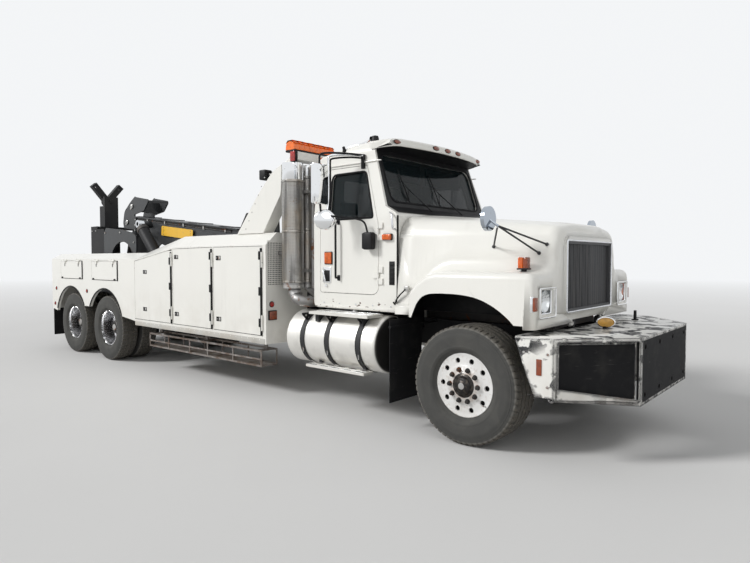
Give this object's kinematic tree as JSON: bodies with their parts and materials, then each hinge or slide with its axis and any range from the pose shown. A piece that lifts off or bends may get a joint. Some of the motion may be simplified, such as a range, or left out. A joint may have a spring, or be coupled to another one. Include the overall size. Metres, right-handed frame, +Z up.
{
  "type": "heavy tow truck",
  "caption": "Heavy three-axle recovery truck with tool-box body, rear-facing boom, folding underlift, opening doors and tilting hood.",
  "frame": {"origin": "on the ground under the middle of the truck's length and width", "axes": "+X forward, +Y to the driver's left, +Z up"},
  "size_m": [10.775, 2.87, 3.2018],
  "materials": {
    "white_paint": "gloss",
    "black_paint": "satin",
    "grey_paint": "satin",
    "tyre": "matte",
    "rubber": "matte",
    "cast_iron": "matte",
    "tank_metal": "satin",
    "stainless": "brushed",
    "chrome": "polished",
    "glass": "clear",
    "lamp_glass": "clear",
    "amber": "gloss",
    "interior": "matte",
    "seat_cloth": "cloth",
    "grille_metal": "satin",
    "rack_metal": "weathered"
  },
  "bodies": {
    "root": {"frame_rails": "black_paint", "front_axle": "black_paint", "rear_axles": "black_paint", "engine": "cast_iron", "front_bumper": "white_paint", "bumper_pads": "rubber", "cab_shell": "white_paint", "cab_glass": "glass", "dashboard": "interior", "seats": "seat_cloth", "fuel_tanks": "tank_metal", "cab_steps": "tank_metal", "exhaust_stacks": "stainless", "tool_boxes_left": "white_paint", "tool_boxes_right": "white_paint", "deck": "grey_paint", "side_racks": "rack_metal", "light_pylon": "white_paint", "lamps": "amber", "boom_pedestal": "black_paint", "rear_tower": "grey_paint", "underlift_column": "black_paint", "mud_flaps": "rubber"},
    "knuckle_left": {"knuckle_left": "cast_iron"},
    "front_wheel_left": {"front_wheel_left": "tyre"},
    "twin_wheels_forward_left": {"twin_wheels_forward_left": "tyre"},
    "twin_wheels_rearward_left": {"twin_wheels_rearward_left": "tyre"},
    "cab_door_left": {"door_left": "white_paint", "door_glass_left": "glass", "mirror_left": "chrome"},
    "tool_door_front_left": {"tool_door_front_left": "white_paint"},
    "tool_door_middle_left": {"tool_door_middle_left": "white_paint"},
    "tool_door_rear_left": {"tool_door_rear_left": "white_paint"},
    "small_door_forward_left": {"small_door_forward_left": "white_paint"},
    "small_door_rearward_left": {"small_door_rearward_left": "white_paint"},
    "knuckle_right": {"knuckle_right": "cast_iron"},
    "front_wheel_right": {"front_wheel_right": "tyre"},
    "twin_wheels_forward_right": {"twin_wheels_forward_right": "tyre"},
    "twin_wheels_rearward_right": {"twin_wheels_rearward_right": "tyre"},
    "cab_door_right": {"door_right": "white_paint", "door_glass_right": "glass", "mirror_right": "chrome"},
    "tool_door_front_right": {"tool_door_front_right": "white_paint"},
    "tool_door_middle_right": {"tool_door_middle_right": "white_paint"},
    "tool_door_rear_right": {"tool_door_rear_right": "white_paint"},
    "small_door_forward_right": {"small_door_forward_right": "white_paint"},
    "small_door_rearward_right": {"small_door_rearward_right": "white_paint"},
    "hood": {"hood": "white_paint", "grille": "grille_metal", "headlamps": "lamp_glass", "hood_mirrors": "chrome"},
    "boom": {"boom_outer": "grey_paint"},
    "boom_extension": {"boom_inner": "grey_paint"},
    "lift_barrels": {"lift_barrels": "black_paint"},
    "lift_rods": {"lift_rods": "chrome"},
    "underlift_arm": {"underlift_arm": "black_paint"},
    "underlift_stinger": {"underlift_stinger": "black_paint"},
    "crossbar": {"crossbar": "black_paint"},
    "fold_barrel": {"fold_barrels": "black_paint"},
    "fold_rod": {"fold_rods": "chrome"}
  },
  "joints": [
    {"name": "steer_left", "type": "hinge", "parent": "root", "child": "knuckle_left", "pos_m": [4.0425, 0.88, 0.535], "axis": [0, 0, 1], "range_deg": [-34, 34]},
    {"name": "roll_front_left", "type": "hinge", "parent": "knuckle_left", "child": "front_wheel_left", "pos_m": [4.0425, 1, 0.535], "axis": [0, 1, 0], "continuous": true},
    {"name": "roll_forward_left", "type": "hinge", "parent": "root", "child": "twin_wheels_forward_left", "pos_m": [-2.7145, 1, 0.525], "axis": [0, 1, 0], "continuous": true},
    {"name": "roll_rearward_left", "type": "hinge", "parent": "root", "child": "twin_wheels_rearward_left", "pos_m": [-4.0105, 1, 0.525], "axis": [0, 1, 0], "continuous": true},
    {"name": "open_cab_door_left", "type": "hinge", "parent": "root", "child": "cab_door_left", "pos_m": [2.9025, 1.012, 1.7], "axis": [0, 0, -1], "range_deg": [0, 70]},
    {"name": "open_tool_door_front_left", "type": "hinge", "parent": "root", "child": "tool_door_front_left", "pos_m": [1.3525, 1.282, 1.27], "axis": [0, 0, -1], "range_deg": [0, 95]},
    {"name": "open_tool_door_middle_left", "type": "hinge", "parent": "root", "child": "tool_door_middle_left", "pos_m": [0.3425, 1.282, 1.27], "axis": [0, 0, -1], "range_deg": [0, 95]},
    {"name": "open_tool_door_rear_left", "type": "hinge", "parent": "root", "child": "tool_door_rear_left", "pos_m": [-0.6345, 1.282, 1.27], "axis": [0, 0, -1], "range_deg": [0, 95]},
    {"name": "open_small_door_forward_left", "type": "hinge", "parent": "root", "child": "small_door_forward_left", "pos_m": [-2.6975, 1.282, 1.62], "axis": [1, 0, 0], "range_deg": [0, 90]},
    {"name": "open_small_door_rearward_left", "type": "hinge", "parent": "root", "child": "small_door_rearward_left", "pos_m": [-3.9675, 1.282, 1.62], "axis": [1, 0, 0], "range_deg": [0, 90]},
    {"name": "steer_right", "type": "hinge", "parent": "root", "child": "knuckle_right", "pos_m": [4.0425, -0.88, 0.535], "axis": [0, 0, 1], "range_deg": [-34, 34]},
    {"name": "roll_front_right", "type": "hinge", "parent": "knuckle_right", "child": "front_wheel_right", "pos_m": [4.0425, -1, 0.535], "axis": [0, 1, 0], "continuous": true},
    {"name": "roll_forward_right", "type": "hinge", "parent": "root", "child": "twin_wheels_forward_right", "pos_m": [-2.7145, -1, 0.525], "axis": [0, 1, 0], "continuous": true},
    {"name": "roll_rearward_right", "type": "hinge", "parent": "root", "child": "twin_wheels_rearward_right", "pos_m": [-4.0105, -1, 0.525], "axis": [0, 1, 0], "continuous": true},
    {"name": "open_cab_door_right", "type": "hinge", "parent": "root", "child": "cab_door_right", "pos_m": [2.9025, -1.012, 1.7], "axis": [0, 0, 1], "range_deg": [0, 70]},
    {"name": "open_tool_door_front_right", "type": "hinge", "parent": "root", "child": "tool_door_front_right", "pos_m": [1.3525, -1.282, 1.27], "axis": [0, 0, 1], "range_deg": [0, 95]},
    {"name": "open_tool_door_middle_right", "type": "hinge", "parent": "root", "child": "tool_door_middle_right", "pos_m": [0.3425, -1.282, 1.27], "axis": [0, 0, 1], "range_deg": [0, 95]},
    {"name": "open_tool_door_rear_right", "type": "hinge", "parent": "root", "child": "tool_door_rear_right", "pos_m": [-0.6345, -1.282, 1.27], "axis": [0, 0, 1], "range_deg": [0, 95]},
    {"name": "open_small_door_forward_right", "type": "hinge", "parent": "root", "child": "small_door_forward_right", "pos_m": [-2.6975, -1.282, 1.62], "axis": [-1, 0, 0], "range_deg": [0, 90]},
    {"name": "open_small_door_rearward_right", "type": "hinge", "parent": "root", "child": "small_door_rearward_right", "pos_m": [-3.9675, -1.282, 1.62], "axis": [-1, 0, 0], "range_deg": [0, 90]},
    {"name": "tilt_hood", "type": "hinge", "parent": "root", "child": "hood", "pos_m": [4.6625, 0, 1.06], "axis": [0, 1, 0], "range_deg": [0, 60]},
    {"name": "raise_boom", "type": "hinge", "parent": "root", "child": "boom", "pos_m": [-0.5075, 0, 1.82], "axis": [0, 1, 0], "range_deg": [0, 30]},
    {"name": "extend_boom", "type": "slide", "parent": "boom", "child": "boom_extension", "axis": [-0.9943, 0, 0.1063], "range_m": [0, 0.7]},
    {"name": "swing_lift_barrels", "type": "hinge", "parent": "root", "child": "lift_barrels", "pos_m": [-2.1575, 0, 1.31], "axis": [0, 1, 0], "range_deg": [0, 35.88]},
    {"name": "push_lift_rods", "type": "slide", "parent": "lift_barrels", "child": "lift_rods", "axis": [-0.7179, 0, 0.6961], "range_m": [0, 0.8835]},
    {"name": "fold_underlift", "type": "hinge", "parent": "root", "child": "underlift_arm", "pos_m": [-5.2375, 0, 0.72], "axis": [0, -1, 0], "range_deg": [0, 90]},
    {"name": "extend_stinger", "type": "slide", "parent": "underlift_arm", "child": "underlift_stinger", "axis": [0, 0, 1], "range_m": [0, 0.9]},
    {"name": "swivel_crossbar", "type": "hinge", "parent": "underlift_stinger", "child": "crossbar", "pos_m": [-5.2375, 0, 2.83], "axis": [1, 0, 0], "range_deg": [-30, 30]},
    {"name": "swing_fold_barrel", "type": "hinge", "parent": "root", "child": "fold_barrel", "pos_m": [-4.7075, 0, 2.15], "axis": [0, 1, 0], "range_deg": [0, 20.44]},
    {"name": "push_fold_rod", "type": "slide", "parent": "fold_barrel", "child": "fold_rod", "axis": [-0.3191, 0, -0.9477], "range_m": [0, 0.5436]}
  ],
  "couplings": [
    {"joint": "steer_right", "follows": "steer_left", "ratio": 1},
    {"joint": "swing_lift_barrels", "follows": "raise_boom", "ratio": 1.1795},
    {"joint": "push_lift_rods", "follows": "raise_boom", "m_per_rad": 1.6778},
    {"joint": "swing_fold_barrel", "follows": "fold_underlift", "ratio": 0.22151},
    {"joint": "push_fold_rod", "follows": "fold_underlift", "m_per_rad": 0.34289}
  ]
}
